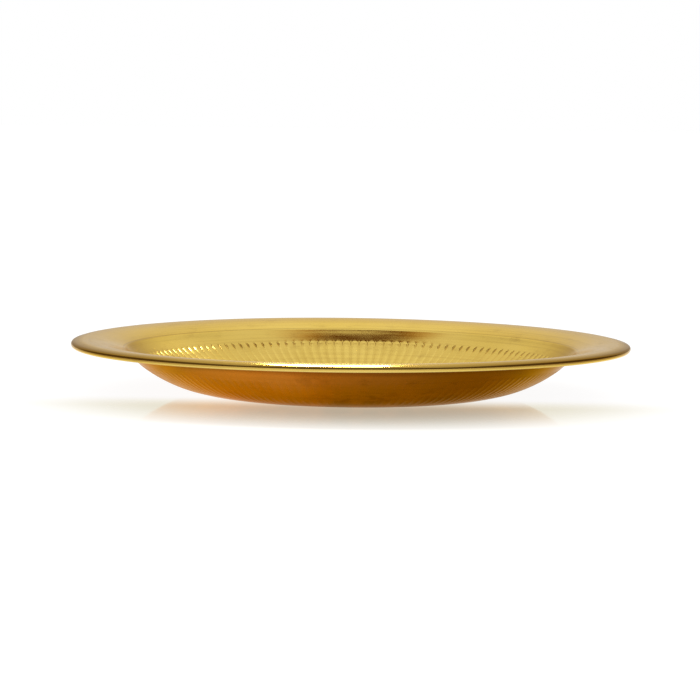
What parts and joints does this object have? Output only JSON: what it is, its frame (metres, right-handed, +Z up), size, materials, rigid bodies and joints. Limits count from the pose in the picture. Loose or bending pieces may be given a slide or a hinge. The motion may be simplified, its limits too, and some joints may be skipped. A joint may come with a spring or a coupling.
{
  "type": "tray",
  "caption": "Round shallow brass tray (thali) with a flat floor, a fluted sloping wall and a broad arched rim rolled over a hidden wire.",
  "frame": {"origin": "centre of the flat base, on the surface the tray stands on", "axes": "+Z up along the axis of the round tray; X and Y are any two horizontal directions at right angles"},
  "size_m": [0.3, 0.3, 0.0292],
  "materials": {
    "pan_brass": "spun and polished, fine turning lines, warmer and duller underneath",
    "wire_brass": "drawn wire, unpolished"
  },
  "bodies": {
    "root": {"tray_pan": "pan_brass", "rim_wire": "wire_brass"}
  },
  "joints": []
}
